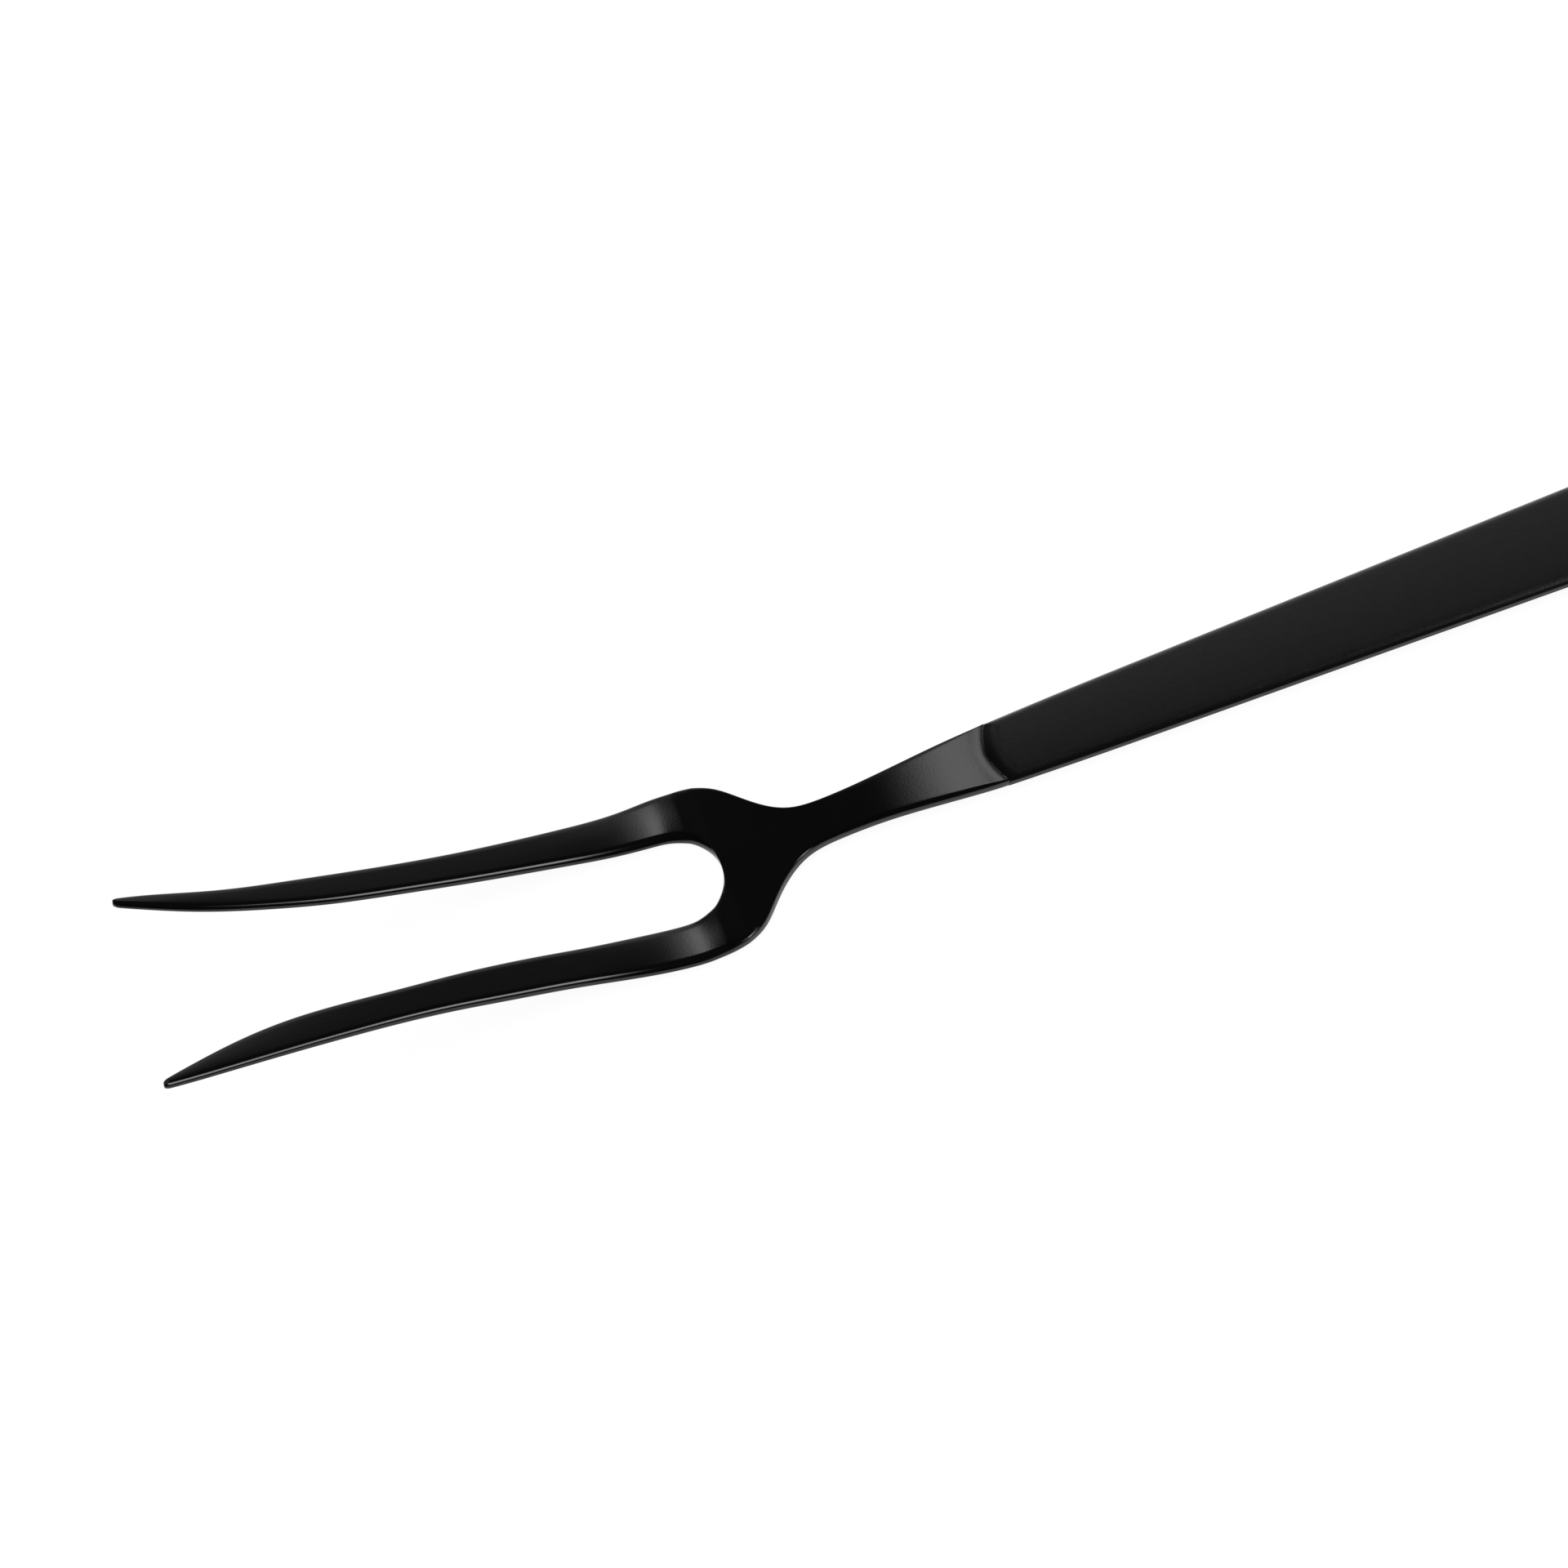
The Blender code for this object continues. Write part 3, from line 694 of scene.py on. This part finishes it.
class FORK_OT_head(bpy.types.Operator):
    """Forge the tines, shoulder, neck and tang in one piece"""

    bl_idname = "carving_fork.head"
    bl_label = "Forge the head"

    def execute(self, context):
        scene = context.scene
        plan = HeadPlan(scene.fork_head_shape, scene.fork_handle_shape)
        piece = forge_head(plan)
        draw_tang(piece, plan)
        settle(piece, gloss_black(scene.fork_finishes), "gloss_black_steel", "fork_head")
        return {"FINISHED"}


class HandlePlan:
    """Works out the rings of points of the handle's shells."""

    def __init__(self, head, handle):
        self.handle = handle
        self.front_x = CAD_LOW.x + head.length
        self.edge_height = handle.front_depth + handle.back_depth
        self.face_step = head.face_step

    def half_width(self, behind):
        """Half the handle's width: a straight taper with a slight extra flare at its front."""
        handle = self.handle
        flared = max(0.0, 1 - behind / handle.flare_length)
        taper = (handle.butt_width - handle.front_width) / 2 - handle.front_flare
        return handle.front_width / 2 + handle.front_flare * (1 - flared**2) + taper * behind / handle.length

    def rows(self, side_in, front_in):
        """Rows of plan points across the handle, set in from its outline."""
        handle = self.handle
        last = handle.length - side_in
        taper_end = handle.length - handle.butt_round
        corner = max(handle.front_corner - side_in, LEAST_CORNER)
        turns = [math.pi / 2 * i / CORNER_ROWS for i in range(CORNER_ROWS)]
        stations = [front_in + corner * (1 - math.cos(turn)) for turn in turns]
        start = front_in + corner
        stations += [start + (taper_end - start) * i / HANDLE_ROWS for i in range(HANDLE_ROWS)]
        turns = [math.pi / 2 * i / BUTT_ROWS for i in range(BUTT_ROWS + 1)]
        stations += [taper_end + (last - taper_end) * math.sin(turn) for turn in turns]
        return [self.row(behind, side_in, front_in, corner, taper_end, last) for behind in stations]

    def row(self, behind, side_in, front_in, corner, taper_end, last):
        """One row of points, as (x, y, share across), rounded in at the front's corners and at the butt."""
        handle = self.handle
        into_corner = max(0.0, front_in + corner - behind)
        into_butt = max(0.0, (behind - taper_end) / (last - taper_end))
        half = self.half_width(behind) - side_in - corner + math.sqrt(max(0.0, corner**2 - into_corner**2))
        half *= math.sqrt(1 - (1 - handle.butt_flat**2) * into_butt**2)
        pulled = max(0.0, 1 - (behind - front_in) / handle.flare_length) ** 2
        points = []
        for column in range(HANDLE_COLUMNS + 1):
            across = 2 * column / HANDLE_COLUMNS - 1
            y = across * half
            bulge = handle.front_arc * (1 - (2 * y / handle.front_width) ** 2)
            points.append((self.front_x + behind - pulled * bulge, y + handle.off_line, across))
        return points

    def ring(self, facing, step):
        """Rows of points of one ring of a shell, from its face (step 0) down to its seam (the last)."""
        handle = self.handle
        turned = min(step, ROLL_STEPS)
        if facing == UP:
            rows = self.rows(UPPER_RIM[turned][0], handle.mouth_reach * FRONT_RIM[turned][0])
        else:
            inwards = 1 - math.cos(math.pi / 2 * (1 - turned / ROLL_STEPS))
            rows = self.rows(LOWER_RIM[turned][0], handle.mouth_roll * inwards)
        return [
            [(x, y, self.level(facing, step, row == 0, across)) for x, y, across in points]
            for row, points in enumerate(rows)
        ]

    def level(self, facing, step, at_front, across):
        """Height of a point of a ring, whose front falls to a sill between its two corners."""
        handle = self.handle
        if step > ROLL_STEPS:
            return handle.back_depth + facing * handle.seam / 2
        if facing == DOWN:
            return LOWER_RIM[step][1]
        crowned = self.edge_height + handle.crown * (1 - across * across)
        fall = UPPER_RIM[step][1]
        if at_front:
            sill = self.edge_height + handle.crown - self.face_step - handle.mouth_dip
            front = FRONT_RIM[step][1] * (crowned - sill)
            fall = front + (fall - front) * across**CORNER_POWER
        return crowned - fall


def press_shell(name, plan, facing, low, high):
    """A face of the handle with its rim drawn over and down to the seam, then given its wall.

    The faces of its front inside the box from low to high are cut out for the tang.
    """
    rows = plan.ring(facing, 0)
    shell = add_sheet(name, len(rows) - 1, HANDLE_COLUMNS)
    with editing(shell) as mesh:
        place_points(mesh, rows, mesh.verts)
        choose(mesh, [edge for edge in mesh.edges if edge.is_boundary])
        for step in range(1, ROLL_STEPS + 2):
            bpy.ops.mesh.extrude_edges_move()
            mesh = bmesh.from_edit_mesh(shell.data)
            place_points(mesh, plan.ring(facing, step), [vert for vert in mesh.verts if vert.select])
        bpy.ops.mesh.select_all(action="SELECT")
        bpy.ops.mesh.normals_make_consistent(inside=False)
        mesh = bmesh.from_edit_mesh(shell.data)
        if facing * sum(face.normal.z * face.calc_area() for face in mesh.faces) < 0:
            bpy.ops.mesh.flip_normals()
            mesh = bmesh.from_edit_mesh(shell.data)
        middles = [(face, face.calc_center_median()) for face in mesh.faces]
        choose(mesh, [f for f, middle in middles if all(a < m < b for a, m, b in zip(low, middle, high))])
        bpy.ops.mesh.delete(type="FACE")
    finish_with(shell, "SOLIDIFY", thickness=plan.handle.wall, offset=-1.0, use_even_offset=True)
    return shell


class FORK_OT_handle(bpy.types.Operator):
    """Press the two half shells of the hollow handle"""

    bl_idname = "carving_fork.handle"
    bl_label = "Press the handle"

    def execute(self, context):
        scene = context.scene
        head, handle = scene.fork_head_shape, scene.fork_handle_shape
        plan = HandlePlan(head, handle)
        bottom, top = HeadPlan(head, handle).tang_levels()
        reach = handle.front_arc + handle.front_corner + handle.wall
        half = head.tang_width / 2 + handle.gap
        low = (plan.front_x - reach, -half, bottom - handle.gap)
        high = (plan.front_x + reach, half, top + handle.gap)
        finish = satin_black(scene.fork_finishes, handle, plan.front_x)
        for name, facing, node in (
            ("handle_face", UP, "handle_front_shell"),
            ("handle_back", DOWN, "handle_back_shell"),
        ):
            shell = press_shell(name, plan, facing, low, high)
            settle(shell, finish, "satin_black_steel", node)
        return {"FINISHED"}


def new_finish(name):
    """A material with its Principled shader, and a wire to grow its nodes from."""
    finish = bpy.data.materials.new(name)
    finish.use_nodes = True
    tree = finish.node_tree
    return finish, tree.nodes["Principled BSDF"], Wire(tree)


def feed(wire, shader, socket):
    wire.tree.links.new(wire.socket, shader.inputs[socket])


def noise(place, scale, detail):
    """A fine-grained pattern, the same in every direction."""
    return place.node("ShaderNodeTexNoise", None, {"Vector": place, "Scale": scale, "Detail": detail})


def strokes(place, scales, detail):
    """A pattern drawn out along the axes whose scales are small."""
    return noise(place.node("ShaderNodeMapping", None, {"Vector": place, "Scale": scales}), 1.0, detail)


def tint(pattern, shader, base, tones):
    """Let a pattern vary the colour between two multiples of its base."""
    first, second = ((*(part * tone for part in base), 1.0) for tone in tones)
    mixed = pattern.node("ShaderNodeMix", {"data_type": "RGBA"}, {0: pattern, 6: first, 7: second}, output=2)
    feed(mixed, shader, "Base Color")


def emboss(pattern, shader, strength, depth):
    """Let a pattern stand out from the surface."""
    bump = pattern.node("ShaderNodeBump", None, {"Strength": strength, "Distance": depth, "Height": pattern})
    feed(bump, shader, "Normal")


def gloss_black(finishes):
    """Mirror-polished steel under a thin black coating, with faint polishing haze."""
    finish, shader, wire = new_finish("gloss_black")
    place = wire.node("ShaderNodeTexCoord", output="Object")
    haze = noise(place, *POLISH_HAZE)
    grain = noise(place, *POLISH_GRAIN)
    rough = haze * GLOSS_SPREAD + grain * GLOSS_SPREAD + (finishes.gloss_roughness - GLOSS_SPREAD)
    tint(haze, shader, finishes.gloss, GLOSS_TONES)
    feed(rough, shader, "Roughness")
    emboss(grain, shader, *POLISH_RELIEF)
    shader.inputs["IOR"].default_value = COATING_IOR
    return finish


def satin_black(finishes, handle, front_x):
    """Steel brushed lengthwise under a thin black coating with a fine grain, glossy over its front and its rim."""
    finish, shader, wire = new_finish("satin_black")
    place = wire.node("ShaderNodeTexCoord", output="Object")
    x = wire.node("ShaderNodeSeparateXYZ", None, {"Vector": place}, output="X")
    y = wire.node("ShaderNodeSeparateXYZ", None, {"Vector": place}, output="Y")
    taper = (handle.butt_width - handle.front_width) / 2 / handle.length
    from_middle = wire.node("ShaderNodeMath", {"operation": "ABSOLUTE"}, {0: y - handle.off_line})
    behind = x - front_x + handle.front_arc - y * y * (4 * handle.front_arc / handle.front_width**2)
    inside = (x - front_x) * taper + handle.front_width / 2 - from_middle

    def fade(distance, start, span):
        return wire.node(
            "ShaderNodeMapRange",
            {"interpolation_type": "SMOOTHSTEP"},
            {"Value": distance, "From Min": start, "From Max": start + span},
        )

    brushed = fade(behind, handle.gloss_reach, handle.gloss_fade) * fade(inside, *RIM_GLOSS)
    fine = strokes(place, *FINE_BRUSHING)
    broad = strokes(place, *BROAD_BRUSHING)
    specks = noise(place, *COATING_SPECKS)
    grain = fine * FINE_PART + broad * BROAD_PART + specks * SPECK_PART
    rough = grain * SATIN_SPREAD + (finishes.satin_roughness - SATIN_SPREAD / 2 - finishes.gloss_roughness)
    tint(grain, shader, finishes.satin, SATIN_TONES)
    feed(rough * brushed + finishes.gloss_roughness, shader, "Roughness")
    emboss(grain * brushed, shader, *BRUSHED_RELIEF)
    shader.inputs["IOR"].default_value = COATING_IOR
    return finish


def pin_steel(finishes):
    """Plain steel with fine marks from drawing along the pin."""
    finish, shader, wire = new_finish("drawn_steel")
    marks = strokes(wire.node("ShaderNodeTexCoord", output="Object"), *DRAWN_MARKS)
    tint(marks, shader, finishes.steel, STEEL_TONES)
    feed(marks * HIDDEN_SPREAD + STEEL_ROUGHNESS, shader, "Roughness")
    shader.inputs["Metallic"].default_value = 1.0
    return finish


def core_resin(finishes):
    """Cast resin with small voids and uneven tone."""
    finish, shader, wire = new_finish("cast_resin")
    place = wire.node("ShaderNodeTexCoord", output="Object")
    cloud = noise(place, *RESIN_CLOUDS)
    voids = wire.node("ShaderNodeTexVoronoi", None, {"Vector": place, "Scale": RESIN_VOIDS})
    tint(cloud, shader, finishes.resin, RESIN_TONES)
    feed(cloud * HIDDEN_SPREAD + RESIN_ROUGHNESS, shader, "Roughness")
    emboss(voids, shader, *VOID_RELIEF)
    return finish


class FORK_OT_fittings(bpy.types.Operator):
    """Finish the pins and the core that the handle encloses"""

    bl_idname = "carving_fork.fittings"
    bl_label = "Finish the inside"

    def execute(self, context):
        finishes = context.scene.fork_finishes
        steel, resin = pin_steel(finishes), core_resin(finishes)
        for node, finish, slot in (
            ("tang_pin_front", steel, "pin_steel"),
            ("tang_pin_rear", steel, "pin_steel"),
            ("handle_core", resin, "core_resin"),
        ):
            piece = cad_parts[node]
            piece.data.materials.clear()
            piece.data.materials.append(finish)
        return {"FINISHED"}


def add_camera(stage):
    """A camera over the near side of the tines, at the height of someone who stands at the table."""
    bpy.ops.object.camera_add(location=CAMERA_AIM + CAMERA_OFFSET)
    camera = bpy.context.object
    camera.rotation_euler = Matrix(CAMERA_AXES).transposed().to_euler()
    camera.data.lens = stage.lens
    camera.data.sensor_width = SENSOR_WIDTH
    camera.data.clip_start = CLIP_START
    bpy.context.scene.camera = camera


def add_fill(stage):
    """A broad light over the fork that neither the camera nor a reflection shows."""
    bpy.ops.object.light_add(type="AREA", location=FILL_PLACE)
    fill = bpy.context.object
    fill.name = "fill"
    fill.rotation_euler = FILL_PLACE.to_track_quat("Z", "Y").to_euler()
    fill.data.size = FILL_SIZE
    fill.data.energy = stage.fill
    fill.visible_camera = False
    fill.visible_glossy = False


def lay_floor(stage):
    """A wide pale floor, white to the camera and in reflections, that keeps a soft shadow."""
    bpy.ops.object.select_all(action="DESELECT")
    bpy.ops.mesh.primitive_circle_add(
        vertices=FLOOR_SIDES, radius=FLOOR_RADIUS, fill_type="NGON", location=(0, 0, -FLOOR_DROP)
    )
    floor = bpy.context.object
    floor.name = "floor"
    finish = bpy.data.materials.new("pale_floor")
    finish.use_nodes = True
    tree = finish.node_tree
    tree.nodes.remove(tree.nodes["Principled BSDF"])
    wire = Wire(tree)
    camera_ray = wire.node("ShaderNodeLightPath", output="Is Camera Ray")
    glossy_ray = wire.node("ShaderNodeLightPath", output="Is Glossy Ray")
    clear_ray = wire.node("ShaderNodeLightPath", output="Is Transmission Ray")
    matt = wire.node("ShaderNodeBsdfDiffuse", None, {"Color": (*stage.floor, 1.0)})
    white = wire.node("ShaderNodeEmission", None, {"Color": WHITE})
    seen = (camera_ray + glossy_ray + clear_ray) * (1 - stage.floor_shade)
    mixed = wire.node("ShaderNodeMixShader", None, {0: seen, 1: matt, 2: white})
    tree.links.new(mixed.socket, tree.nodes["Material Output"].inputs["Surface"])
    floor.data.materials.append(finish)


def light_world(stage):
    """A dark studio with a pale back wall and two softboxes."""
    world = bpy.data.worlds.new("studio")
    world.use_nodes = True
    bpy.context.scene.world = world
    tree = world.node_tree
    wire = Wire(tree)
    place = wire.node("ShaderNodeTexCoord", output="Generated")
    x = wire.node("ShaderNodeSeparateXYZ", None, {"Vector": place}, output="X")
    y = wire.node("ShaderNodeSeparateXYZ", None, {"Vector": place}, output="Y")

    def glow(part, stops):
        """Brightness by a direction's part along one axis, which runs from -1 to 1."""
        spread = [((stop + 1) / 2, level) for stop, level in stops]
        return wire.node("ShaderNodeValToRGB", {"stops": spread}, {"Fac": part * 0.5 + 0.5})

    back_box = glow(x, BACK_BOX_X) * glow(y, BACK_BOX_Y) * stage.back_box
    side_box = glow(x, SIDE_BOX_X) * glow(y, SIDE_BOX_Y) * stage.side_box
    wall = glow(x, BACK_WALL_X) * glow(y, BACK_WALL_Y)
    tree.links.new((wall + back_box + side_box).socket, tree.nodes["Background"].inputs["Color"])


class FORK_OT_stage(bpy.types.Operator):
    """Lay the floor, set the light and place the camera"""

    bl_idname = "carving_fork.stage"
    bl_label = "Set the stage"

    def execute(self, context):
        stage = context.scene.fork_stage
        add_camera(stage)
        lay_floor(stage)
        light_world(stage)
        add_fill(stage)
        context.scene.view_settings.view_transform = "Standard"
        return {"FINISHED"}


class FORK_PT_builder(bpy.types.Panel):
    """Lists the fork's operators"""

    bl_idname = "FORK_PT_builder"
    bl_label = "Carving fork"
    bl_space_type = "VIEW_3D"
    bl_region_type = "UI"
    bl_category = "Fork"

    def draw(self, context):
        for operator in OPERATORS:
            self.layout.operator(operator.bl_idname)


GROUPS = {
    "fork_head_shape": ForkHeadShape,
    "fork_handle_shape": ForkHandleShape,
    "fork_finishes": ForkFinishes,
    "fork_stage": ForkStage,
}
OPERATORS = (FORK_OT_head, FORK_OT_handle, FORK_OT_fittings, FORK_OT_stage)


def register():
    for made in (*GROUPS.values(), *OPERATORS, FORK_PT_builder):
        bpy.utils.register_class(made)
    for name, group in GROUPS.items():
        setattr(bpy.types.Scene, name, bpy.props.PointerProperty(type=group))


def unregister():
    for name in GROUPS:
        delattr(bpy.types.Scene, name)
    for made in reversed((*GROUPS.values(), *OPERATORS, FORK_PT_builder)):
        bpy.utils.unregister_class(made)


def main():
    register()
    bpy.ops.carving_fork.head()
    bpy.ops.carving_fork.handle()
    bpy.ops.carving_fork.fittings()
    bpy.ops.carving_fork.stage()


if __name__ == "__main__":
    main()
